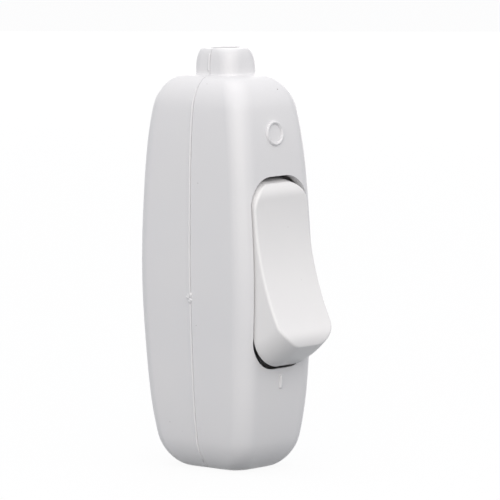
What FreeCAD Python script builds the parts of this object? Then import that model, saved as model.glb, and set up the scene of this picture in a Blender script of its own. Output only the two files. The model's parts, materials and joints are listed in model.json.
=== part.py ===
import FreeCAD, Part
import math
import os

V = FreeCAD.Vector

# An inline rocker switch for a round flexible cord, in millimetres.
# The origin is the middle of the cord entry in the flat foot. +Z runs along the cord,
# -Y is the rocker side, and the two shells part on the plane y = 0.

# Outer form of the shells
body_height = 82.0
body_width = 22.7
front_depth = 15.4
back_depth = 16.3
side_bow = 2.0
face_bow = 3.6
end_rise = 7.5
end_inset_side = 4.1
end_inset_face = 5.0
edge_radius_middle = 4.0
edge_radius_end = 3.0
wall = 2.0
seam_width = 0.14
seam_depth = 0.2
barrel_sections = 5
end_sections = 6

# Neck and cord entries
neck_height = 5.55
neck_half_width = 4.7
neck_half_depth = 5.7
neck_corner_radius = 3.0
neck_rim_corner_radius = 3.65
neck_roll_rise = 4.4
neck_roll_inset = 1.0
neck_root_radius = 0.5
cord_radius = 3.2
bore_chamfer = 0.2
collar_wall = 1.8
collar_height = 3.5

# Rocker and its hinge
pivot_y = -8.4
pivot_z = 41.0
rocker_half_width = 8.1
rocker_end_radius = 20.1
rocker_corner_radius = 5.5
rocker_skirt_reach = 3.0
rocker_front_reach = 12.5
rocker_tilt = 14.0
rocker_wall = 1.6
face_reach = 9.05
face_hollow_radius = 55.0
crest_radius = 4.4
crest_place = 15.1
crest_sweep = 70.0
rim_radius = 0.55
rocker_rib = 1.2
ear_thickness = 1.4
ear_radius = 3.0
trunnion_radius = 1.5
trunnion_length = 1.6
trunnion_end_gap = 0.15
running_clearance = 0.05
rocker_side_gap = 0.35
rocker_end_gap = 0.2
opening_top = 61.6
opening_corner_radius = 6.1
bearing_half_height = 3.6
bearing_behind_pivot = 3.2
lead_in_depth = 0.5

# Plunger and spring inside the rocker
sleeve_radius = 2.6
sleeve_bore_radius = 1.75
sleeve_front_reach = 6.5
sleeve_length_behind = 6.0
plunger_slide_clearance = 0.1
plunger_shoulder = 3.0
plunger_neck_start = 6.6
plunger_tip_radius = 1.2
plunger_stem_radius = 0.75
plunger_stem_length = 4.0
tip_gap = 0.16
spring_radius = 1.25
spring_wire = 0.36
spring_turns = 6.0
spring_end_gap = 0.1

# Contact lever, a folded strip that rocks in a seat
fulcrum_behind_pivot = 9.94
lever_throw = 8.0
lever_thickness = 0.8
lever_half_width = 1.9
lever_arm = 8.8
knuckle_radius = 1.4
pocket_half_mouth = 0.75
pocket_depth = 1.0
ramp_angle = 18.0
ramp_end = 3.2
contact_arm = 7.2
contact_radius = 1.4
contact_height = 0.9
contact_dome = 0.45
contact_gap = 0.08
rivet_radius = 0.7
rivet_clearance = 0.03
lever_stop_gap = 0.08
stop_thickness = 1.6

# Strips, terminals and the through connector
seat_floor = 0.41
seat_half_height = 2.3
seat_depth = 1.6
strip_thickness = 0.8
strip_gap = 0.3
strip_turn = 2.4
contact_strip_start = 3.5
terminal_width = 5.4
terminal_depth = 5.8
terminal_length = 6.0
terminal_near = 13.4
wire_bore_radius = 1.5
wire_bore_depth = 2.0
link_width = 4.6
link_depth = 5.6
link_half_length = 8.0
link_screw_place = 5.2
terminal_screw_radius = 1.25
terminal_screw_head = 2.1
terminal_screw_head_height = 1.5
screw_bite = 0.3

# Posts, ribs and saddles inside the shells
post_place = 24.5
post_radius = 3.9
boss_radius = 2.5
post_floor = 6.0
counterbore_radius = 2.75
housing_screw_radius = 1.35
housing_screw_head = 2.5
housing_screw_head_height = 1.9
housing_screw_length = 14.0
screw_clearance = 0.05
housing_screw_play = 0.25
boss_gap = 0.05
rib_count = 8
rib_thickness = 1.2
partition_thickness = 0.9
partition_front = -0.4
partition_gap = 0.15
lip_gap = 0.08
lip_thickness = 0.8
lip_height = 1.3
lip_root = 2.0
saddle_from_end = 9.5
saddle_half_width = 7.4
saddle_half_height = 2.0
saddle_front = 2.6
clamp_thickness = 2.4
clamp_screw_place = 5.5
clamp_screw_radius = 1.1
clamp_screw_head = 1.8
clamp_screw_head_height = 1.3
clamp_screw_length = 8.0
recess_depth_share = 0.55
recess_width_share = 0.22

# How far a cutting shape runs past what it cuts
over_cut = 1.0

# Places that follow from the sizes above
middle = body_height / 2
pivot = V(0, pivot_y, pivot_z)
across = V(1, 0, 0)
opening_half_width = rocker_half_width + rocker_side_gap
opening_end_radius = rocker_end_radius + rocker_end_gap
fulcrum_y = pivot_y + fulcrum_behind_pivot
fulcrum = V(0, fulcrum_y, pivot_z)
ramp = math.radians(ramp_angle)
throw = math.radians(lever_throw)
ramp_rise = (ramp_end - pocket_half_mouth) * math.tan(ramp)
arm_front = -(pocket_depth + ramp_rise)
arm_back = arm_front + lever_thickness
tip_before_pocket = (plunger_tip_radius + tip_gap - pocket_half_mouth * math.sin(ramp)) / math.cos(ramp)
plunger_tip = fulcrum_behind_pivot - pocket_depth - tip_before_pocket
plunger_radius = sleeve_bore_radius - plunger_slide_clearance
strip_front = fulcrum_y + knuckle_radius + running_clearance + seat_floor
strip_back = strip_front + strip_thickness
terminal_front = strip_front - terminal_depth
link_front = strip_back - link_depth
wire_bore_y = strip_front - wire_bore_depth
leg_right = -(lever_half_width + strip_gap)
leg_left = leg_right - terminal_width
terminal_x = (leg_left + leg_right) / 2
partition_left = lever_half_width + strip_gap + partition_gap
partition_right = partition_left + partition_thickness
link_left = partition_right + partition_gap
link_x = link_left + link_width / 2
block_end = terminal_near + terminal_length
stop_height = lever_arm - stop_thickness / 4
lever_back_at_stop = arm_back * math.cos(throw) + lever_arm * math.sin(throw)
stop_front = fulcrum_y + lever_back_at_stop + lever_stop_gap
dome_radius = (contact_radius ** 2 + contact_dome ** 2) / (2 * contact_dome)
dome_centre = arm_back + contact_height - dome_radius
closed_tip_y = fulcrum_y + dome_centre * math.cos(throw) + contact_arm * math.sin(throw) + dome_radius
closed_tip_z = pivot_z - dome_centre * math.sin(throw) + contact_arm * math.cos(throw)
upper_saddle_z = body_height - saddle_from_end
far = 2 * body_height


def block(x0, x1, y0, y1, z0, z1):
    return Part.makeBox(x1 - x0, y1 - y0, z1 - z0, V(x0, y0, z0))


def rod(radius, start, end):
    return Part.makeCylinder(radius, (end - start).Length, start, end - start)


def join(shapes):
    whole = shapes[0]
    for shape in shapes[1:]:
        whole = whole.fuse(shape)
    return whole.removeSplitter()


def prism(points, direction):
    face = Part.Face(Part.makePolygon(points + points[:1]))
    return face.extrude(direction)


def rounded_loop(half_u, v_low, v_high, radius, place):
    """A closed wire: a rectangle with round corners, put in space by place(u, v)."""
    inner = half_u - radius
    bite = radius * (1 - math.sqrt(0.5))
    edges = []
    corners = [(inner, v_low, half_u - bite, v_low + bite, half_u, v_low + radius),
               (half_u, v_high - radius, half_u - bite, v_high - bite, inner, v_high),
               (-inner, v_high, -half_u + bite, v_high - bite, -half_u, v_high - radius),
               (-half_u, v_low + radius, -half_u + bite, v_low + bite, -inner, v_low)]
    start = place(-inner, v_low)
    for u0, v0, u1, v1, u2, v2 in corners:
        edges.append(Part.LineSegment(start, place(u0, v0)).toShape())
        edges.append(Part.Arc(place(u0, v0), place(u1, v1), place(u2, v2)).toShape())
        start = place(u2, v2)
    return Part.Wire(edges)


def body_section(z, share, inset):
    """The outline of the body at height z, drawn in by inset and by a share of the end rounding."""
    bow = ((z - middle) / middle) ** 2
    side_pull = max(end_inset_side - inset, 0) * share
    face_pull = max(end_inset_face - inset, 0) * share
    half_u = body_width / 2 - side_bow * bow - inset - side_pull
    front = front_depth - face_bow * bow - inset - face_pull
    back = back_depth - face_bow * bow - inset - face_pull
    radius = edge_radius_middle + (edge_radius_end - edge_radius_middle) * share - inset / 2
    return rounded_loop(half_u, -front, back, radius, lambda u, v: V(u, v, z))


def pillow(inset):
    """The bowed body with its rounded ends, drawn in by inset all round."""
    rise = end_rise - inset
    quarter = math.pi / 2
    stops = []
    for i in range(end_sections, 0, -1):
        angle = quarter * i / end_sections
        stops.append((end_rise - rise * math.sin(angle), 1 - math.cos(angle)))
    for i in range(barrel_sections):
        stops.append((end_rise + (body_height - 2 * end_rise) * i / (barrel_sections - 1), 0.0))
    for i in range(1, end_sections + 1):
        angle = quarter * i / end_sections
        stops.append((body_height - end_rise + rise * math.sin(angle), 1 - math.cos(angle)))
    return Part.makeLoft([body_section(z, share, inset) for z, share in stops], True, False)


def neck(inset):
    """The cord neck on the top, with its rolled edge."""
    top = body_height + neck_height - inset
    straight_top = body_height + neck_height - neck_roll_rise
    bottom = body_height - wall / 2

    def loop(z, share):
        half_width = neck_half_width - inset - neck_roll_inset * share
        half_depth = neck_half_depth - inset - neck_roll_inset * share
        radius = neck_corner_radius + (neck_rim_corner_radius - neck_corner_radius) * share - inset
        return rounded_loop(half_width, -half_depth, half_depth, radius, lambda u, v: V(u, v, z))

    shaft = Part.Face(loop(bottom, 0)).extrude(V(0, 0, straight_top - bottom))
    loops = []
    for i in range(end_sections + 1):
        angle = math.pi / 2 * i / end_sections
        loops.append(loop(straight_top + (top - straight_top) * math.sin(angle), 1 - math.cos(angle)))
    return join([shaft, Part.makeLoft(loops, True, False)])


def cord_ways(radius):
    """The round ways of the cord through the foot and the neck."""
    low = rod(radius, V(0, 0, -over_cut), V(0, 0, wall + collar_height + over_cut))
    high = rod(radius, V(0, 0, body_height - wall - over_cut), V(0, 0, body_height + neck_height + over_cut))
    return Part.makeCompound([low, high])


def neck_mouth():
    """The small chamfer at the mouth of the neck."""
    top = V(0, 0, body_height + neck_height)
    return Part.makeCone(cord_radius + bore_chamfer, cord_radius, bore_chamfer, top, V(0, 0, -1))


def outer_form(inset):
    return join([pillow(inset), neck(inset)])


def husk():
    """Both shells in one piece, before they are parted."""
    solid = outer_form(0)
    root = [edge for edge in solid.Edges if is_neck_root(edge)]
    solid = solid.makeFillet(neck_root_radius, root)
    solid = solid.cut(pillow(wall))
    collar = rod(cord_radius + collar_wall, V(0, 0, wall / 2), V(0, 0, wall + collar_height))
    solid = solid.fuse(collar)
    solid = solid.cut(cord_ways(cord_radius)).cut(neck_mouth())
    groove = block(-far, far, -seam_width / 2, seam_width / 2, -far, far).cut(outer_form(seam_depth))
    return solid.cut(groove)


def is_neck_root(edge):
    box = edge.BoundBox
    near_top = box.ZMin > body_height - wall and box.ZMax < body_height + neck_roll_rise / 2
    on_neck = max(abs(box.XMin), abs(box.XMax)) < neck_half_width + 0.01
    flat = box.ZLength < 0.01
    return near_top and on_neck and flat and box.ZMax > body_height - 0.01


def front_half():
    return block(-far, far, -far, 0, -far, far)


def rear_half():
    return block(-far, far, 0, far, -far, far)


def post_heights():
    return [pivot_z - post_place, pivot_z + post_place]


def saddle_heights():
    return [saddle_from_end, upper_saddle_z]


def rocker_opening():
    """The window for the rocker, cut through the front wall only. Its lower end follows the rocker's arc."""
    near = front_depth - wall - face_bow + pivot_y
    span = front_depth + over_cut + pivot_y - near
    loops = []
    for i in range(5):
        reach = near + span * i / 4
        bottom = pivot_z - math.sqrt(opening_end_radius ** 2 - reach ** 2)
        loops.append(rounded_loop(opening_half_width, bottom, opening_top, opening_corner_radius,
                                  lambda u, v, reach=reach: V(u, pivot_y - reach, v)))
    return Part.makeLoft(loops, True, False)


def front_shell(parted, inner):
    shell = parted.common(front_half()).cut(rocker_opening())
    low = pivot_z - bearing_half_height
    high = pivot_z + bearing_half_height
    bearing_front = -(front_depth - wall + wall / 4)
    bearing_back = pivot_y + bearing_behind_pivot
    added = []
    taken = []
    for side in (-1, 1):
        near = side * opening_half_width
        x0, x1 = sorted((near, side * body_width))
        added.append(block(x0, x1, bearing_front, bearing_back, low, high))
        bore_end = near + side * (trunnion_length - rocker_side_gap + trunnion_end_gap)
        bore_radius = trunnion_radius + running_clearance
        start = near - side * over_cut
        taken.append(rod(bore_radius, V(start, pivot_y, pivot_z), V(bore_end, pivot_y, pivot_z)))
        x0, x1 = sorted((start, near + side * lead_in_depth))
        taken.append(block(x0, x1, pivot_y, bearing_back + over_cut,
                           pivot_z - bore_radius, pivot_z + bore_radius))
    for z in post_heights():
        added.append(rod(boss_radius, V(0, -front_depth, z), V(0, -boss_gap, z)))
        tip = post_floor - housing_screw_length - over_cut
        taken.append(rod(housing_screw_radius + screw_clearance, V(0, tip, z), V(0, over_cut, z)))
    shell = shell.fuse([piece.common(inner) for piece in added])
    return shell.cut(Part.makeCompound(taken)).removeSplitter()


def locating_lip():
    """The rim of the rear shell that reaches into the front shell and lines the two up."""
    core = pillow(wall + lip_gap + lip_thickness)
    reach = pillow(wall + lip_gap).cut(core).common(block(-far, far, -lip_height, 0, -far, far))
    root = pillow(wall / 2).cut(core).common(block(-far, far, 0, lip_root, -far, far))
    return [reach.cut(cord_ways(cord_radius + collar_wall + lip_gap)), root.cut(cord_ways(cord_radius))]


def saddle(z):
    """A cradle for the cord across the rear shell, with its channel open to the front."""
    low = z - saddle_half_height
    high = z + saddle_half_height
    body = block(-saddle_half_width, saddle_half_width, -saddle_front, far, low, high)
    start = low - over_cut
    end = high + over_cut
    channel = rod(cord_radius, V(0, 0, start), V(0, 0, end))
    mouth = block(-cord_radius, cord_radius, -saddle_front - over_cut, 0, start, end)
    return body.cut(channel.fuse(mouth))


def rear_shell(parted, inner):
    shell = parted.common(rear_half())
    added = [saddle(z) for z in saddle_heights()]
    first_rib = pivot_z - block_end + rib_thickness
    rib_pitch = 2 * (block_end - rib_thickness) / (rib_count - 1)
    for i in range(rib_count):
        z = first_rib + rib_pitch * i
        added.append(block(-far, far, strip_back, far, z - rib_thickness / 2, z + rib_thickness / 2))
    added.append(block(partition_left, partition_right, partition_front, far,
                       pivot_z - block_end, pivot_z + block_end))
    stop_z = pivot_z - stop_height
    added.append(block(-lever_half_width, lever_half_width, stop_front, far,
                       stop_z - stop_thickness / 2, stop_z + stop_thickness / 2))
    taken = []
    for z in post_heights():
        added.append(rod(post_radius, V(0, 0, z), V(0, back_depth, z)))
        taken.append(rod(housing_screw_radius + housing_screw_play, V(0, -over_cut, z), V(0, far, z)))
        taken.append(rod(counterbore_radius, V(0, post_floor, z), V(0, far, z)))
    for z in saddle_heights():
        for side in (-1, 1):
            x = side * clamp_screw_place
            end = clamp_screw_length - saddle_front - clamp_thickness + over_cut
            taken.append(rod(clamp_screw_radius + screw_clearance, V(x, -far, z), V(x, end, z)))
    shell = shell.fuse([piece.common(inner) for piece in added] + locating_lip())
    return shell.cut(Part.makeCompound(taken)).removeSplitter()


def reach_point(x, t, reach):
    """A point of the level rocker: t up from the pivot, reach out in front of it."""
    return V(x, pivot_y - reach, pivot_z + t)


def rocker_stock(inset, reaches):
    loops = []
    for reach in reaches:
        half_length = math.sqrt(rocker_end_radius ** 2 - reach ** 2) - inset
        place = lambda u, v, reach=reach: reach_point(u, v, reach)
        loops.append(rounded_loop(rocker_half_width - inset, -half_length, half_length,
                                  rocker_corner_radius - inset, place))
    return Part.makeLoft(loops, True, False)


def before_face(inset):
    """All that lies in front of the finger face, for cutting the face. inset moves the face in."""
    hollow = face_hollow_radius + inset
    crest = crest_radius - inset
    centre = face_reach + face_hollow_radius
    crest_reach = centre - math.sqrt((face_hollow_radius + crest_radius) ** 2 - crest_place ** 2)
    lean = math.asin(crest_place / (face_hollow_radius + crest_radius))
    sweep = math.radians(crest_sweep)
    x = -far

    def on_crest(side, angle):
        t = crest_place + crest * math.sin(angle)
        return reach_point(x, side * t, crest_reach + crest * math.cos(angle))

    bend = (sweep - lean) / 2
    middle_point = reach_point(x, 0, centre - hollow)
    edges = [Part.Arc(on_crest(-1, sweep), on_crest(-1, bend), on_crest(-1, -lean)).toShape(),
             Part.Arc(on_crest(-1, -lean), middle_point, on_crest(1, -lean)).toShape(),
             Part.Arc(on_crest(1, -lean), on_crest(1, bend), on_crest(1, sweep)).toShape()]
    end_reach = crest_reach + crest * math.cos(sweep)
    corners = [on_crest(1, sweep), reach_point(x, far, end_reach), reach_point(x, far, far),
               reach_point(x, -far, far), reach_point(x, -far, end_reach), on_crest(-1, sweep)]
    for start, end in zip(corners, corners[1:]):
        edges.append(Part.LineSegment(start, end).toShape())
    return Part.Face(Part.Wire(edges)).extrude(V(2 * far, 0, 0))


def is_rim(edge):
    middle_point = edge.valueAt((edge.FirstParameter + edge.LastParameter) / 2)
    reach = pivot_y - middle_point.y
    at_end = abs(middle_point.z - pivot_z) > crest_place + 1
    return reach > face_reach - 1 and (abs(middle_point.x) > rocker_half_width / 3 or at_end)


def rocker():
    """The rocker key: a hollow key with end arcs about its pivot, side ears and a spring sleeve."""
    span = rocker_front_reach - rocker_skirt_reach
    reaches = [rocker_skirt_reach + span * i / 4 for i in range(5)]
    key = rocker_stock(0, reaches).cut(before_face(0))
    key = key.makeFillet(rim_radius, [edge for edge in key.Edges if is_rim(edge)])
    hollow = rocker_stock(rocker_wall, [reaches[0] - 0.5] + reaches[1:]).cut(before_face(rocker_wall))
    key = key.cut(hollow)
    inner_half = rocker_half_width - rocker_wall / 2
    inner_face = face_reach - rocker_wall / 2
    sleeve = rod(sleeve_radius, reach_point(0, 0, -sleeve_length_behind), reach_point(0, 0, inner_face))
    rib = block(-inner_half, inner_half, pivot_y - inner_face, pivot_y - rocker_skirt_reach,
                pivot_z - rocker_rib / 2, pivot_z + rocker_rib / 2)
    added = [sleeve, rib]
    for side in (-1, 1):
        x0, x1 = sorted((side * (rocker_half_width - ear_thickness), side * rocker_half_width))
        added.append(rod(ear_radius, V(x0, pivot_y, pivot_z), V(x1, pivot_y, pivot_z)))
        added.append(block(x0, x1, pivot_y - rocker_skirt_reach - 1, pivot_y,
                           pivot_z - ear_radius, pivot_z + ear_radius))
        outer = side * (rocker_half_width + trunnion_length)
        added.append(rod(trunnion_radius, V(side * inner_half, pivot_y, pivot_z), V(outer, pivot_y, pivot_z)))
    key = key.fuse(added)
    key = key.cut(rod(sleeve_bore_radius, reach_point(0, 0, -far), reach_point(0, 0, sleeve_front_reach)))
    return tilted(key.removeSplitter())


def tilted(shape):
    """Turns what is built on the level rocker to its rest, with the lower end out."""
    turned = shape.copy()
    turned.rotate(pivot, across, -rocker_tilt)
    return turned


def contact_plunger():
    shoulder = reach_point(0, 0, -plunger_shoulder)
    neck_start = reach_point(0, 0, -plunger_neck_start)
    tip_centre = reach_point(0, 0, -plunger_tip)
    body = rod(plunger_radius, shoulder, neck_start)
    neck_rod = rod(plunger_tip_radius, neck_start, tip_centre)
    tip = Part.makeSphere(plunger_tip_radius, tip_centre)
    stem = rod(plunger_stem_radius, shoulder, reach_point(0, 0, plunger_stem_length - plunger_shoulder))
    return tilted(join([body, neck_rod, tip, stem]))


def rocker_spring():
    """The coil spring in the rocker's sleeve, between its end and the plunger's shoulder."""
    length = sleeve_front_reach + plunger_shoulder - 2 * spring_end_gap - spring_wire
    helix = Part.makeHelix(length / spring_turns, length, spring_radius)
    ring = Part.Wire(Part.makeCircle(spring_wire / 2, V(spring_radius, 0, 0), V(0, 1, 0)))
    coil = Part.Wire(helix.Edges).makePipeShell([ring], True, True)
    coil.rotate(V(0, 0, 0), across, -90)
    coil.translate(reach_point(0, 0, sleeve_front_reach - spring_end_gap - spring_wire / 2))
    return tilted(coil)


def lever_outline():
    """One edge of the folded strip, as y and z from the fulcrum: pocket, ramps, flat arms and knuckle."""
    back_step = lever_thickness / math.cos(ramp)
    ramp_back_start = -pocket_depth - (knuckle_radius - pocket_half_mouth) * math.tan(ramp) + back_step
    ramp_back_end = pocket_half_mouth + (back_step - lever_thickness + ramp_rise) / math.tan(ramp)
    inner = knuckle_radius - lever_thickness

    def at(y, z):
        return V(-lever_half_width, fulcrum_y + y, pivot_z + z)

    upper = [at(0, inner), at(-pocket_depth, pocket_half_mouth), at(arm_front, ramp_end),
             at(arm_front, lever_arm), at(arm_back, lever_arm), at(arm_back, ramp_back_end),
             at(ramp_back_start, knuckle_radius), at(0, knuckle_radius)]
    lower = [V(p.x, p.y, 2 * pivot_z - p.z) for p in reversed(upper)]
    edges = [Part.LineSegment(a, b).toShape() for a, b in zip(upper, upper[1:])]
    edges.append(Part.Arc(upper[-1], at(knuckle_radius, 0), lower[0]).toShape())
    edges += [Part.LineSegment(a, b).toShape() for a, b in zip(lower, lower[1:])]
    edges.append(Part.Arc(lower[-1], at(inner, 0), upper[0]).toShape())
    return Part.Wire(edges)


def thrown(shape):
    """Turns what is built on the level lever to its rest, with the contact open."""
    turned = shape.copy()
    turned.rotate(fulcrum, across, lever_throw)
    return turned


def contact_lever():
    folded = Part.Face(lever_outline()).extrude(V(2 * lever_half_width, 0, 0))
    z = pivot_z + contact_arm
    start = fulcrum_y + arm_front - over_cut
    hole = rod(rivet_radius + rivet_clearance, V(0, start, z), V(0, strip_front, z))
    return thrown(folded.cut(hole))


def moving_contact():
    """A domed silver rivet in the upper arm of the lever."""
    z = pivot_z + contact_arm
    seat = fulcrum_y + arm_back
    head = rod(contact_radius, V(0, seat, z), V(0, seat + contact_height, z))
    dome = Part.makeSphere(dome_radius, V(0, fulcrum_y + dome_centre, z))
    shank = rod(rivet_radius, V(0, fulcrum_y + arm_front, z), V(0, seat, z))
    return thrown(join([head.common(dome), shank]))


def strip(points):
    return prism([V(x, strip_front, z) for x, z in points], V(0, strip_thickness, 0))


def lever_bracket():
    """The brass strip that carries the lever's seat and runs to the lower live terminal."""
    bottom = pivot_z - block_end
    seat_top = pivot_z + seat_half_height + strip_gap
    step = pivot_z - seat_half_height - strip_gap
    turn = step - strip_turn
    plate = strip([(-lever_half_width, seat_top), (lever_half_width, seat_top), (lever_half_width, turn),
                   (leg_right, turn), (leg_right, bottom), (leg_left, bottom), (leg_left, step),
                   (-lever_half_width, step)])
    post = block(-lever_half_width, lever_half_width, strip_front - seat_depth, strip_front,
                 pivot_z - seat_half_height, pivot_z + seat_half_height)
    seat = rod(knuckle_radius + running_clearance, V(-far, fulcrum_y, pivot_z), V(far, fulcrum_y, pivot_z))
    return join([plate, post.cut(seat)])


def fixed_contact_strip():
    """The brass strip between the fixed contact and the upper live terminal."""
    top = pivot_z + block_end
    start = pivot_z + contact_strip_start
    turn = closed_tip_z + contact_radius + strip_gap
    plate = strip([(-lever_half_width, start), (lever_half_width, start),
                   (lever_half_width, turn + strip_turn), (leg_right, turn + strip_turn),
                   (leg_right, top), (leg_left, top), (leg_left, turn), (-lever_half_width, turn)])
    radius = rivet_radius + rivet_clearance
    return plate.cut(rod(radius, V(0, fulcrum_y, closed_tip_z), V(0, far, closed_tip_z)))


def fixed_contact():
    top = closed_tip_y + contact_gap
    head = rod(contact_radius, V(0, top, closed_tip_z), V(0, strip_front, closed_tip_z))
    shank = rod(rivet_radius, V(0, strip_front, closed_tip_z), V(0, strip_back, closed_tip_z))
    return join([head, shank])


def terminal(low):
    """A brass block with a wire way along it and a screw hole from the front."""
    high = low + terminal_length
    body = block(leg_left, leg_right, terminal_front, strip_front, low, high)
    wire = rod(wire_bore_radius, V(terminal_x, wire_bore_y, low - over_cut),
               V(terminal_x, wire_bore_y, high + over_cut))
    z = (low + high) / 2
    hole = rod(terminal_screw_radius + screw_clearance, V(terminal_x, terminal_front - over_cut, z),
               V(terminal_x, wire_bore_y, z))
    return body.cut(wire.fuse(hole))


def neutral_link():
    """A long brass block that joins the two neutral wires, one screw for each."""
    low = pivot_z - link_half_length
    high = pivot_z + link_half_length
    body = block(link_left, link_left + link_width, link_front, strip_back, low, high)
    y = link_front + link_depth / 2
    wire = rod(wire_bore_radius, V(link_x, y, low - over_cut), V(link_x, y, high + over_cut))
    for side in (-1, 1):
        z = pivot_z + side * link_screw_place
        radius = terminal_screw_radius + screw_clearance
        wire = wire.fuse(rod(radius, V(link_x, link_front - over_cut, z), V(link_x, y, z)))
    return body.cut(wire)


def screw(head_radius, head_height, shank_radius, length, seat, direction):
    """A pan-head screw with a cross recess. seat is under its head; direction is the way it goes in."""
    head = rod(head_radius, V(0, 0, -head_height), V(0, 0, 0))
    crown = [edge for edge in head.Edges if abs(edge.BoundBox.ZMax + head_height) < 0.001]
    head = head.makeFillet(head_height / 2, crown)
    shank = rod(shank_radius, V(0, 0, 0), V(0, 0, length))
    arm = head_radius * recess_depth_share
    half = head_radius * recess_width_share / 2
    floor = -head_height * (1 - recess_depth_share)
    cross = [block(-arm, arm, -half, half, -head_height, floor),
             block(-half, half, -arm, arm, -head_height, floor)]
    whole = join([head.cut(cross), shank])
    whole.Placement = FreeCAD.Placement(seat, FreeCAD.Rotation(V(0, 0, 1), direction))
    return whole


def terminal_screw(x, front, z, tip):
    return screw(terminal_screw_head, terminal_screw_head_height, terminal_screw_radius, tip - front,
                 V(x, front, z), V(0, 1, 0))


def cord_clamp(z):
    """A moulded bar that presses the cord's sheath into its saddle."""
    front = -(saddle_front + clamp_thickness)
    low = z - saddle_half_height
    high = z + saddle_half_height
    bar = block(-saddle_half_width, saddle_half_width, front, -saddle_front, low, high)
    boxes = [(edge, edge.BoundBox) for edge in bar.Edges]
    ends = [edge for edge, box in boxes if box.YMax < front + 0.001 and box.XLength < 0.001]
    bar = bar.makeFillet(clamp_thickness / 3, ends)
    cut = rod(cord_radius, V(0, 0, low - over_cut), V(0, 0, high + over_cut))
    for side in (-1, 1):
        x = side * clamp_screw_place
        cut = cut.fuse(rod(clamp_screw_radius + screw_clearance, V(x, front - over_cut, z), V(x, 0, z)))
    return bar.cut(cut)


def clamp_screw(side, z):
    front = -(saddle_front + clamp_thickness)
    return screw(clamp_screw_head, clamp_screw_head_height, clamp_screw_radius, clamp_screw_length,
                 V(side * clamp_screw_place, front, z), V(0, 1, 0))


def housing_screw(z):
    return screw(housing_screw_head, housing_screw_head_height, housing_screw_radius, housing_screw_length,
                 V(0, post_floor, z), V(0, -1, 0))


def build():
    parted = husk()
    inner = pillow(wall / 2)
    live_low = pivot_z - block_end
    live_high = pivot_z + terminal_near
    live_mid = terminal_near + terminal_length / 2
    live_tip = wire_bore_y - wire_bore_radius + screw_bite
    link_tip = link_front + link_depth / 2 - wire_bore_radius + screw_bite
    low_post, high_post = post_heights()
    low_saddle, high_saddle = saddle_heights()
    return {
        "front_shell": front_shell(parted, inner),
        "rear_shell": rear_shell(parted, inner),
        "rocker": rocker(),
        "rocker_spring": rocker_spring(),
        "contact_plunger": contact_plunger(),
        "contact_lever": contact_lever(),
        "moving_contact": moving_contact(),
        "lever_bracket": lever_bracket(),
        "fixed_contact_strip": fixed_contact_strip(),
        "fixed_contact": fixed_contact(),
        "upper_live_terminal": terminal(live_high),
        "lower_live_terminal": terminal(live_low),
        "neutral_link": neutral_link(),
        "upper_live_screw": terminal_screw(terminal_x, terminal_front, pivot_z + live_mid, live_tip),
        "lower_live_screw": terminal_screw(terminal_x, terminal_front, pivot_z - live_mid, live_tip),
        "upper_neutral_screw": terminal_screw(link_x, link_front, pivot_z + link_screw_place, link_tip),
        "lower_neutral_screw": terminal_screw(link_x, link_front, pivot_z - link_screw_place, link_tip),
        "upper_cord_clamp": cord_clamp(high_saddle),
        "lower_cord_clamp": cord_clamp(low_saddle),
        "upper_clamp_screw_left": clamp_screw(-1, high_saddle),
        "upper_clamp_screw_right": clamp_screw(1, high_saddle),
        "lower_clamp_screw_left": clamp_screw(-1, low_saddle),
        "lower_clamp_screw_right": clamp_screw(1, low_saddle),
        "upper_housing_screw": housing_screw(high_post),
        "lower_housing_screw": housing_screw(low_post),
    }


os.makedirs("parts", exist_ok=True)
for name, shape in build().items():
    shape.exportStep("parts/" + name + ".step")
    print(name, "solids", len(shape.Solids), "valid", shape.isValid(), "volume", round(shape.Volume, 2))
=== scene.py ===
import bpy
import json
import math
from mathutils import Matrix, Vector
from mathutils.bvhtree import BVHTree


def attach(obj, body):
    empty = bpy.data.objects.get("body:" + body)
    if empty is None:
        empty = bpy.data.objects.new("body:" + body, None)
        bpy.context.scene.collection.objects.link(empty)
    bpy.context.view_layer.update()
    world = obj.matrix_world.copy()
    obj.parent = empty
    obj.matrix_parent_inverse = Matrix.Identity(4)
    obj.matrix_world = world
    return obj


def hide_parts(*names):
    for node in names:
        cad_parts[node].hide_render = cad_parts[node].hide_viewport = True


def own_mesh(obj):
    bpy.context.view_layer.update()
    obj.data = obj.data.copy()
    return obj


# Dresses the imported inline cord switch: finishes for every part, the moulded signs, the fine
# marks that the mould leaves, a drawn spring, and a white studio. Lengths whose name ends in
# Mm, and all sizes of the pieces, are in millimetres.

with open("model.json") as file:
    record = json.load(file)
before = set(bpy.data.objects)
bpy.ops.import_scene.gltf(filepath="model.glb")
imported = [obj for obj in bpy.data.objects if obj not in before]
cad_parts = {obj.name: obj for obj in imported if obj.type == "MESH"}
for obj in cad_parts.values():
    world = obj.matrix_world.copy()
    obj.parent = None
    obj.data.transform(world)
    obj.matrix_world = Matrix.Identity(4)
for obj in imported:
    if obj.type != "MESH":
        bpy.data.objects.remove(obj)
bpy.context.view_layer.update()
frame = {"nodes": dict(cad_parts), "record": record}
mm = 0.001
print("stage: frame loaded,", len(frame["nodes"]), "nodes")


def srgbHex(code):
    # sRGB hex to the linear values that the shaders take
    channels = [int(code[i:i + 2], 16) / 255 for i in (1, 3, 5)]
    linear = [c / 12.92 if c <= 0.04045 else ((c + 0.055) / 1.055) ** 2.4 for c in channels]
    return (*linear, 1.0)


def addNode(tree, kind, settings=None, inputs=None):
    # settings are the node's own, inputs are values, or (node, output) for a link
    node = tree.nodes.new(kind)
    for name, value in (settings or {}).items():
        setattr(node, name, value)
    for name, value in (inputs or {}).items():
        if isinstance(value, tuple) and isinstance(value[0], bpy.types.Node):
            tree.links.new(value[0].outputs[value[1]], node.inputs[name])
        else:
            node.inputs[name].default_value = value
    return node


def newMaterial(name):
    material = bpy.data.materials.new(name)
    material.use_nodes = True
    material.node_tree.nodes.clear()
    return material, material.node_tree


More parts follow.
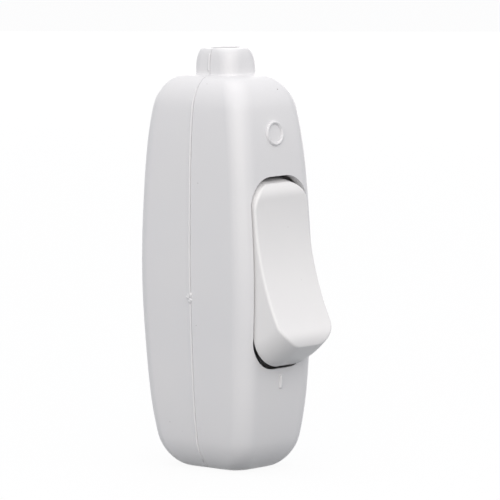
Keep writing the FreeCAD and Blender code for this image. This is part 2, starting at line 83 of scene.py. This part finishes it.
def perMetre(spacingMm):
    # the scale at which a pattern's features lie this far apart
    return 1 / (spacingMm * mm)


# glossy white ABS of the shells, the rocker and their moulded signs
whiteAbs = {
    "shell": {"colour": "#e9e8e8", "shade": "#e4e4e6", "speck": "#8f8c88"},
    # the rocker's white is set lighter than the shells'; part of that lift is painted light,
    # standing in for the brighter light that falls on its face
    "rocker": {"colour": "#f1f0ef", "shade": "#ecebeb", "speck": "#dddcda"},
    "ior": 1.5,
    "roughness": (0.28, 0.38),
    "cloudMm": 16.0,
    "smearMm": 7.0,
    "sinkMm": 10.0,
    "sinkHeightMm": 0.010,
    "peelMm": 0.9,
    "peelHeightMm": 0.0010,
    "speckGapMm": 5.3,
    "speckRadiusMm": 0.16,
    "speckCore": 0.6,  # share of the radius that is fully dark
}


def mouldedWhiteAbs(name, look):
    # glossy injection-moulded ABS: the polished mould leaves soft-edged reflections, the cooling
    # walls sink in faint waves, a fine orange peel breaks up the highlights, and a few specks of
    # burnt resin lie in the white
    material, tree = newMaterial(name)
    place = addNode(tree, "ShaderNodeTexCoord")
    cloud = addNode(tree, "ShaderNodeTexNoise", {}, {
        "Vector": (place, "Object"), "Scale": perMetre(whiteAbs["cloudMm"]), "Detail": 2.0})
    tint = addNode(tree, "ShaderNodeMix", {"data_type": "RGBA"}, {
        "A": srgbHex(look["colour"]), "B": srgbHex(look["shade"]), "Factor": (cloud, "Fac")})
    spots = addNode(tree, "ShaderNodeTexVoronoi", {}, {
        "Vector": (place, "Object"), "Scale": perMetre(whiteAbs["speckGapMm"])})
    rim = whiteAbs["speckRadiusMm"] / whiteAbs["speckGapMm"]
    speck = addNode(tree, "ShaderNodeMapRange", {}, {
        "Value": (spots, "Distance"), "From Min": whiteAbs["speckCore"] * rim, "From Max": rim,
        "To Min": 1.0, "To Max": 0.0})
    dyed = addNode(tree, "ShaderNodeMix", {"data_type": "RGBA"}, {
        "A": (tint, "Result"), "B": srgbHex(look["speck"]), "Factor": (speck, "Result")})
    smear = addNode(tree, "ShaderNodeTexNoise", {}, {
        "Vector": (place, "Object"), "Scale": perMetre(whiteAbs["smearMm"]), "Detail": 2.0})
    low, high = whiteAbs["roughness"]
    gloss = addNode(tree, "ShaderNodeMapRange", {}, {
        "Value": (smear, "Fac"), "To Min": low, "To Max": high})
    sink = addNode(tree, "ShaderNodeTexNoise", {}, {
        "Vector": (place, "Object"), "Scale": perMetre(whiteAbs["sinkMm"]), "Detail": 0.0})
    wave = addNode(tree, "ShaderNodeBump", {}, {
        "Distance": whiteAbs["sinkHeightMm"] * mm, "Height": (sink, "Fac")})
    peel = addNode(tree, "ShaderNodeTexNoise", {}, {
        "Vector": (place, "Object"), "Scale": perMetre(whiteAbs["peelMm"]), "Detail": 1.0})
    skin = addNode(tree, "ShaderNodeBump", {}, {
        "Distance": whiteAbs["peelHeightMm"] * mm, "Height": (peel, "Fac"),
        "Normal": (wave, "Normal")})
    shader = addNode(tree, "ShaderNodeBsdfPrincipled", {}, {
        "Base Color": (dyed, "Result"), "Roughness": (gloss, "Result"), "IOR": whiteAbs["ior"],
        "Normal": (skin, "Normal")})
    addNode(tree, "ShaderNodeOutputMaterial", {}, {"Surface": (shader, "BSDF")})
    return material


# undyed plastics inside, each with the spacing of its surface grain
undyed = {
    "acetal": {"colour": "#e9e5d8", "shade": "#dcd6c4", "roughness": 0.38, "grainMm": 0.7},
    "nylon": {"colour": "#dedccf", "shade": "#cdc9b8", "roughness": 0.5, "grainMm": 0.9},
    "ior": 1.5,
    "cloudMm": 5.0,
    "grainHeightMm": 0.005,
}


def mouldedUndyed(name, look):
    # acetal or nylon straight from a spark-eroded mould: milky, satin, with a fine even grain
    material, tree = newMaterial(name)
    place = addNode(tree, "ShaderNodeTexCoord")
    cloud = addNode(tree, "ShaderNodeTexNoise", {}, {
        "Vector": (place, "Object"), "Scale": perMetre(undyed["cloudMm"]), "Detail": 3.0})
    tint = addNode(tree, "ShaderNodeMix", {"data_type": "RGBA"}, {
        "A": srgbHex(look["colour"]), "B": srgbHex(look["shade"]), "Factor": (cloud, "Fac")})
    grain = addNode(tree, "ShaderNodeTexNoise", {}, {
        "Vector": (place, "Object"), "Scale": perMetre(look["grainMm"]), "Detail": 3.0})
    skin = addNode(tree, "ShaderNodeBump", {}, {
        "Distance": undyed["grainHeightMm"] * mm, "Height": (grain, "Fac")})
    shader = addNode(tree, "ShaderNodeBsdfPrincipled", {}, {
        "Base Color": (tint, "Result"), "Roughness": look["roughness"], "IOR": undyed["ior"],
        "Normal": (skin, "Normal")})
    addNode(tree, "ShaderNodeOutputMaterial", {}, {"Surface": (shader, "BSDF")})
    return material


# metals inside: gloss is the roughness where the working marks are faint and where they are
# deep, and marksMm is how far apart they lie across and along the work
metals = {
    "rolledBrass": {"colour": "#d9b56a", "tarnish": "#a87e3c", "gloss": (0.22, 0.42),
                    "marksMm": (0.3, 6.0)},
    "silverRivet": {"colour": "#e6e4de", "tarnish": "#b9b4a6", "gloss": (0.18, 0.35),
                    "marksMm": (0.6, 0.6)},
    "zincPlatedSteel": {"colour": "#c9ccc9", "tarnish": "#9ba1a6", "gloss": (0.25, 0.45),
                        "marksMm": (0.4, 1.5)},
    "springSteel": {"colour": "#aeb0b1", "tarnish": "#77797b", "gloss": (0.28, 0.4),
                    "marksMm": (0.3, 2.5)},
}
metalWear = {
    "patchMm": 2.5,
    "tarnishFrom": 0.45,
    "tarnishFull": 0.75,
    "tarnishMost": 0.8,
    "marksFrom": 0.3,
    "marksFull": 0.7,
    "markHeightMm": 0.003,
}


def workedMetal(name):
    # bare or plated metal: fine lines from rolling, turning or drawing, and a patchy tarnish
    look = metals[name]
    material, tree = newMaterial(name)
    place = addNode(tree, "ShaderNodeTexCoord")
    patches = addNode(tree, "ShaderNodeTexNoise", {}, {
        "Vector": (place, "Object"), "Scale": perMetre(metalWear["patchMm"]), "Detail": 4.0})
    amount = addNode(tree, "ShaderNodeMapRange", {}, {
        "Value": (patches, "Fac"), "From Min": metalWear["tarnishFrom"],
        "From Max": metalWear["tarnishFull"], "To Min": 0.0, "To Max": metalWear["tarnishMost"]})
    tint = addNode(tree, "ShaderNodeMix", {"data_type": "RGBA"}, {
        "A": srgbHex(look["colour"]), "B": srgbHex(look["tarnish"]), "Factor": (amount, "Result")})
    across, along = (perMetre(gap) for gap in look["marksMm"])
    stretch = addNode(tree, "ShaderNodeMapping", {}, {
        "Vector": (place, "Object"), "Scale": (across, across, along)})
    marks = addNode(tree, "ShaderNodeTexNoise", {}, {
        "Vector": (stretch, "Vector"), "Scale": 1.0, "Detail": 3.0})
    low, high = look["gloss"]
    gloss = addNode(tree, "ShaderNodeMapRange", {}, {
        "Value": (marks, "Fac"), "From Min": metalWear["marksFrom"],
        "From Max": metalWear["marksFull"], "To Min": low, "To Max": high})
    skin = addNode(tree, "ShaderNodeBump", {}, {
        "Distance": metalWear["markHeightMm"] * mm, "Height": (marks, "Fac")})
    shader = addNode(tree, "ShaderNodeBsdfPrincipled", {}, {
        "Base Color": (tint, "Result"), "Metallic": 1.0, "Roughness": (gloss, "Result"),
        "Normal": (skin, "Normal")})
    addNode(tree, "ShaderNodeOutputMaterial", {}, {"Surface": (shader, "BSDF")})
    return material


# the finish of each material slot of the record
finishes = {
    "shell": mouldedWhiteAbs("mouldedWhiteAbs", whiteAbs["shell"]),
    "rocker": mouldedWhiteAbs("mouldedRockerAbs", whiteAbs["rocker"]),
    "plunger": mouldedUndyed("mouldedAcetal", undyed["acetal"]),
    "clamp": mouldedUndyed("mouldedNylon", undyed["nylon"]),
    "brass": workedMetal("rolledBrass"),
    "silver": workedMetal("silverRivet"),
    "screw": workedMetal("zincPlatedSteel"),
    "spring": workedMetal("springSteel"),
}
for part in frame["record"]["subparts"]:
    mesh = frame["nodes"][part["node"]].data
    mesh.materials.clear()
    mesh.materials.append(finishes[part["material_slot"]])
print("stage: materials made,", len(finishes))


# the shells' real surfaces, which carry the small moulded pieces
skins = {node: BVHTree.FromObject(frame["nodes"][node], bpy.context.evaluated_depsgraph_get())
         for node in ("front_shell", "rear_shell")}
outside = 50  # well clear of the body


def frontFace(z):
    # where the front shell's face lies on the middle line at this height
    start = Vector((0, -outside, z)) * mm
    return skins["front_shell"].ray_cast(start, Vector((0, 1, 0)))[0].y / mm


def sideFace(side, y, z):
    # how far out the rear shell's side lies at this depth and height
    start = Vector((side * outside, y, z)) * mm
    return side * skins["rear_shell"].ray_cast(start, Vector((-side, 0, 0)))[0].x / mm


def makePiece(name, vertices, faces, body, slot):
    mesh = bpy.data.meshes.new(name)
    mesh.from_pydata([[c * mm for c in vertex] for vertex in vertices], [], faces)
    mesh.validate()
    mesh.shade_smooth()
    mesh.materials.append(finishes[slot])
    piece = bpy.data.objects.new(name, mesh)
    bpy.context.scene.collection.objects.link(piece)
    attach(piece, body)
    return piece


profileSteps = 10  # facets across a raised line


def raisedLine(path, width, height, sunk, closed):
    # a half-round line standing on a face: path gives the foot, the way across and the way out,
    # and its edges lie sunk into the face
    vertices = []
    faces = []
    for foot, across, out in path:
        for i in range(profileSteps + 1):
            turn = math.pi * i / profileSteps
            rise = height * math.sin(turn) - (sunk if i in (0, profileSteps) else 0)
            vertices.append(foot + across * (-width / 2 * math.cos(turn)) + out * rise)
    rings = len(path)
    row = profileSteps + 1
    for r in range(rings if closed else rings - 1):
        here, after = r * row, ((r + 1) % rings) * row
        for i in range(row):
            j = (i + 1) % row
            faces.append((here + i, here + j, after + j, after + i))
    if not closed:
        faces.append(tuple(range(row))[::-1])
        faces.append(tuple((rings - 1) * row + i for i in range(row)))
    return vertices, faces


# the two moulded signs on the front: a ring above the rocker for off, and a bar below it for on
signs = {
    "ringPlace": 70.35,
    "ringRadius": 2.22,
    "ringPoints": 96,
    "lineWidth": 0.72,
    "lineHeight": 0.45,
    "barPlace": 18.85,
    "barLength": 2.9,
    "barWidth": 0.75,
    "barHeight": 0.55,
    "barPoints": 24,
    "barTip": 0.1,  # the bar's width at its very end, as a share
    "sunk": 0.15,
    "slopeStep": 0.5,
}


def frontOut(z):
    # the way straight out of the front face at this height
    step = signs["slopeStep"]
    slope = (frontFace(z + step) - frontFace(z - step)) / (2 * step)
    return Vector((0, -1, slope)).normalized()


def makeSigns():
    path = []
    for i in range(signs["ringPoints"]):
        turn = 2 * math.pi * i / signs["ringPoints"]
        across = Vector((math.cos(turn), 0, math.sin(turn)))
        z = signs["ringPlace"] + signs["ringRadius"] * across.z
        foot = Vector((signs["ringRadius"] * across.x, frontFace(z), z))
        path.append((foot, across, frontOut(z)))
    line = raisedLine(path, signs["lineWidth"], signs["lineHeight"], signs["sunk"], True)
    makePiece("offSign", *line, "housing", "shell")

    path = []
    half = signs["barLength"] / 2
    for i in range(signs["barPoints"] + 1):
        # crowded towards the ends, where the line rounds off
        along = math.sin((2 * i / signs["barPoints"] - 1) * math.pi / 2) * half
        z = signs["barPlace"] + along
        fromEnd = min(half - abs(along), signs["barWidth"] / 2)
        fromRound = 1 - 2 * fromEnd / signs["barWidth"]
        share = math.sqrt(max(1 - fromRound ** 2, signs["barTip"] ** 2))
        path.append((Vector((0, frontFace(z), z)), Vector((share, 0, 0)), frontOut(z) * share))
    line = raisedLine(path, signs["barWidth"], signs["barHeight"], signs["sunk"], False)
    makePiece("onSign", *line, "housing", "shell")


makeSigns()
print("stage: signs made")


# the thin bead that the parting of the mould leaves along the rear shell's edge
bead = {
    "behindSeam": 0.36,
    "width": 0.55,
    "height": 0.24,
    "sunk": 0.10,
    "stretches": {"parting": (1.6, 79.6), "neck": (82.9, 86.5)},
    "points": 160,
    "fadePoints": 6,  # over which it sinks away at each end
    "fadeLeast": 0.02,
    "slopeStep": 0.2,
}


def beadPath(side, lowest, highest):
    path = []
    points = bead["points"]
    step = bead["slopeStep"]
    for i in range(points + 1):
        z = lowest + (highest - lowest) * i / points
        here, above, below = (sideFace(side, bead["behindSeam"], height)
                              for height in (z, z + step, z - step))
        out = Vector((side, 0, (below - above) / (2 * step))).normalized()
        fade = max(min(1, i / bead["fadePoints"], (points - i) / bead["fadePoints"]),
                   bead["fadeLeast"])
        foot = Vector((side * here, bead["behindSeam"], z))
        path.append((foot, Vector((0, 1, 0)), out * fade))
    return path


def makeBeads():
    for side, hand in ((-1, "Left"), (1, "Right")):
        for stretch, (lowest, highest) in bead["stretches"].items():
            path = beadPath(side, lowest, highest)
            line = raisedLine(path, bead["width"], bead["height"], bead["sunk"], False)
            makePiece(stretch + "Bead" + hand, *line, "housing", "shell")


makeBeads()
print("stage: parting beads made")


# the broken-off stub where the melt came in, on the seam of the left side
gateStub = {
    "place": 36.3,
    "behindSeam": 0.30,
    "radius": 0.78,
    "stretch": 1.5,  # length along the seam over width
    "height": 0.34,
    "sunk": 0.12,
    "wallSteepness": 2.4,
    "dishDepth": 0.16,
    "dishShare": 0.6,
    "unevenness": 0.9,
    "tears": ((3, 0.7, 0.5), (5, 2.1, 0.3), (9, 0.0, 0.2)),  # waves round it, turn and size
    "rings": 7,
    "points": 28,
}


def stubPoint(face, r, k):
    # ring r, from the sunk foot up a steep torn wall to a dished top
    share = 1 - r / gateStub["rings"]
    rise = gateStub["height"] * min(1, gateStub["wallSteepness"] * (1 - share))
    rise -= gateStub["dishDepth"] * max(0, gateStub["dishShare"] - share)
    turn = 2 * math.pi * k / gateStub["points"]
    torn = sum(math.sin(waves * turn + start) * size for waves, start, size in gateStub["tears"])
    reach = gateStub["radius"] * share * (1 + 0.5 * torn * gateStub["unevenness"])
    if r == 0:
        lift = rise - gateStub["sunk"]
    else:
        lift = rise * (1 + gateStub["unevenness"] * torn * (0.2 + share))
    return (face - lift, gateStub["behindSeam"] + reach * math.cos(turn),
            gateStub["place"] + gateStub["stretch"] * reach * math.sin(turn))


def makeGateStub():
    rings, points = gateStub["rings"], gateStub["points"]
    face = -sideFace(-1, gateStub["behindSeam"], gateStub["place"])
    vertices = [stubPoint(face, r, k) for r in range(rings) for k in range(points)]
    vertices.append(stubPoint(face, rings, 0))
    tip = len(vertices) - 1
    faces = []
    for r in range(rings):
        here, above = r * points, (r + 1) * points
        for k in range(points):
            after = (k + 1) % points
            if r < rings - 1:
                faces.append((here + k, here + after, above + after, above + k))
            else:
                faces.append((here + k, here + after, tip))
    faces.append(tuple(range(points))[::-1])
    makePiece("gateStub", vertices, faces, "housing", "shell")


makeGateStub()
print("stage: gate stub made")


# the spring behind the rocker's face: drawn steel wire with closed end turns, which gives way
# to the plunger; it lies in the rocker's sleeve, along the plunger's slide
spring = {
    "pivot": (0, -8.4, 41.0),
    "tilt": 14.0,
    "frontReach": 6.22,
    "length": 8.94,
    "radius": 1.25,
    "wire": 0.36,
    "turns": 7,
    "closedPitch": 0.37,
    "turnPoints": 36,
    "wirePoints": 10,
    "travel": 1.0,
}


def springAlong(turned):
    # how far back the wire has come after so many turns
    openTurns = spring["turns"] - 2
    openPitch = (spring["length"] - 2 * spring["closedPitch"]) / openTurns
    closed = min(turned, 1) + max(turned - 1 - openTurns, 0)
    return spring["closedPitch"] * closed + openPitch * min(max(turned - 1, 0), openTurns)


def makeSpring():
    tilt = math.radians(spring["tilt"])
    back = Vector((0, math.cos(tilt), -math.sin(tilt)))
    rise = Vector((0, math.sin(tilt), math.cos(tilt)))
    front = Vector(spring["pivot"]) - back * spring["frontReach"]
    steps = spring["turns"] * spring["turnPoints"]
    points = spring["wirePoints"]
    centres = []
    for i in range(steps + 1):
        turned = i / spring["turnPoints"]
        turn = 2 * math.pi * turned
        spoke = Vector((1, 0, 0)) * math.cos(turn) + rise * math.sin(turn)
        centres.append((front + back * springAlong(turned) + spoke * spring["radius"], spoke))
    vertices = []
    faces = []
    for i, (centre, spoke) in enumerate(centres):
        ahead, behind = centres[min(i + 1, steps)][0], centres[max(i - 1, 0)][0]
        across = (ahead - behind).cross(spoke).normalized()
        for k in range(points):
            turn = 2 * math.pi * k / points
            way = spoke * math.cos(turn) + across * math.sin(turn)
            vertices.append(centre + way * spring["wire"] / 2)
    for i in range(steps):
        here, ahead = i * points, (i + 1) * points
        for k in range(points):
            after = (k + 1) % points
            faces.append((here + k, here + after, ahead + after, ahead + k))
    faces.append(tuple(range(points))[::-1])
    faces.append(tuple(steps * points + k for k in range(points)))
    piece = makePiece("plungerSpring", vertices, faces, "rocker", "spring")
    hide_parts("rocker_spring")
    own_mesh(piece)


makeSpring()
print("stage: spring made")


# floor, world and lamps: a white sweep with soft light from the front left, the back and above
studio = {
    "floorSize": 12.0,
    "floorColour": "#f4f4f5",
    "floorBounce": "#6e7276",
    "floorWhite": 0.92,  # share of plain white that direct views get, the rest takes the shadow
    "worldColour": "#f2f3f8",
    "worldLevel": 0.85,
    "background": "#ffffff",
    "lampColour": "#fffaf4",
    "aimHeightMm": 45,
    "lamps": [
        {"name": "keyLamp", "place": (-0.66, -0.62, 0.42), "size": 0.9, "watts": 4.2},
        {"name": "topLamp", "place": (0.00, 0.00, 1.00), "size": 0.7, "watts": 1.3},
        {"name": "frontLamp", "place": (0.10, -0.90, 0.70), "size": 0.6, "watts": 0.6},
        {"name": "rightLamp", "place": (0.70, -0.80, 0.50), "size": 0.5, "watts": 0.4},
        {"name": "leftLamp", "place": (-1.00, -0.10, 0.04), "size": 0.6, "watts": 1.0},
        {"name": "backLamp", "place": (1.00, 0.65, 0.25), "size": 0.8, "watts": 3.4},
    ],
}


def directView(tree):
    # 1 for camera, mirror and clear rays, which meet the plain white background
    path = addNode(tree, "ShaderNodeLightPath")
    both = addNode(tree, "ShaderNodeMath", {"operation": "MAXIMUM"}, {
        0: (path, "Is Camera Ray"), 1: (path, "Is Glossy Ray")})
    every = addNode(tree, "ShaderNodeMath", {"operation": "MAXIMUM"}, {
        0: (both, "Value"), 1: (path, "Is Transmission Ray")})
    return path, every


def makeFloor():
    half = studio["floorSize"] / 2
    corners = [(-half, -half, 0), (half, -half, 0), (half, half, 0), (-half, half, 0)]
    mesh = bpy.data.meshes.new("paleFloor")
    mesh.from_pydata(corners, [], [(0, 1, 2, 3)])
    floor = bpy.data.objects.new("paleFloor", mesh)
    bpy.context.scene.collection.objects.link(floor)
    # pale to the eye and greyer to bounced light, so that the undersides stay in shade
    material, tree = newMaterial("paleSweep")
    path, seen = directView(tree)
    colour = addNode(tree, "ShaderNodeMix", {"data_type": "RGBA"}, {
        "A": srgbHex(studio["floorColour"]), "B": srgbHex(studio["floorBounce"]),
        "Factor": (path, "Is Diffuse Ray")})
    board = addNode(tree, "ShaderNodeBsdfDiffuse", {}, {"Color": (colour, "Result")})
    white = addNode(tree, "ShaderNodeEmission", {}, {
        "Color": srgbHex(studio["background"]), "Strength": 1.0})
    share = addNode(tree, "ShaderNodeMath", {"operation": "MULTIPLY"}, {
        0: (seen, "Value"), 1: studio["floorWhite"]})
    blend = addNode(tree, "ShaderNodeMixShader", {}, {
        0: (share, "Value"), 1: (board, "BSDF"), 2: (white, "Emission")})
    addNode(tree, "ShaderNodeOutputMaterial", {}, {"Surface": (blend, "Shader")})
    mesh.materials.append(material)


def makeWorld():
    world = bpy.data.worlds.new("softRoom")
    bpy.context.scene.world = world
    world.use_nodes = True
    tree = world.node_tree
    tree.nodes.clear()
    path, seen = directView(tree)
    room = addNode(tree, "ShaderNodeBackground", {}, {
        "Color": srgbHex(studio["worldColour"]), "Strength": studio["worldLevel"]})
    white = addNode(tree, "ShaderNodeBackground", {}, {
        "Color": srgbHex(studio["background"]), "Strength": 1.0})
    blend = addNode(tree, "ShaderNodeMixShader", {}, {
        0: (seen, "Value"), 1: (room, "Background"), 2: (white, "Background")})
    addNode(tree, "ShaderNodeOutputWorld", {}, {"Surface": (blend, "Shader")})


def makeLamps():
    target = Vector((0, 0, studio["aimHeightMm"] * mm))
    for lamp in studio["lamps"]:
        data = bpy.data.lights.new(lamp["name"], "AREA")
        data.energy = lamp["watts"]
        data.size = lamp["size"]
        data.color = srgbHex(studio["lampColour"])[:3]
        body = bpy.data.objects.new(lamp["name"], data)
        body.location = lamp["place"]
        body.rotation_euler = (target - body.location).to_track_quat("-Z", "Y").to_euler()
        bpy.context.scene.collection.objects.link(body)


# the photograph's view: a long lens to the left of the rocker and a little above it; midPixel
# is where the point midHeightMm up the middle line lies in the picture
photoView = {
    "azimuth": -46.8,
    "elevation": 6.5,
    "roll": -0.7,
    "distanceMm": 1100.0,
    "pixelsPerMm": 4.8,
    "midHeightMm": 41.0,
    "midPixel": (228.2, 270.2),
    "frame": 500,
    "sensorMm": 36,
    "clip": (0.01, 50),
}


def makeCamera():
    a, e, r = (math.radians(photoView[key]) for key in ("azimuth", "elevation", "roll"))
    back = Vector((math.sin(a) * math.cos(e), -math.cos(a) * math.cos(e), math.sin(e)))
    level = Vector((math.cos(a), math.sin(a), 0))
    upright = back.cross(level)
    right = level * math.cos(r) + upright * math.sin(r)
    up = upright * math.cos(r) - level * math.sin(r)
    half = photoView["frame"] / 2
    shiftRight = (half - photoView["midPixel"][0]) / photoView["pixelsPerMm"]
    shiftUp = (photoView["midPixel"][1] - half) / photoView["pixelsPerMm"]
    target = Vector((0, 0, photoView["midHeightMm"])) + right * shiftRight + up * shiftUp
    frameMm = photoView["frame"] / photoView["pixelsPerMm"]
    data = bpy.data.cameras.new("photoCamera")
    data.sensor_width = photoView["sensorMm"]
    data.lens = photoView["sensorMm"] * photoView["distanceMm"] / frameMm
    data.clip_start, data.clip_end = photoView["clip"]
    camera = bpy.data.objects.new("photoCamera", data)
    place = (target + back * photoView["distanceMm"]) * mm
    axes = Matrix((right, up, back)).transposed().to_4x4()
    camera.matrix_world = Matrix.Translation(place) @ axes
    bpy.context.scene.collection.objects.link(camera)
    bpy.context.scene.camera = camera


makeFloor()
makeWorld()
makeLamps()
makeCamera()
bpy.context.scene.view_settings.view_transform = "Standard"
print("stage: studio and camera placed")
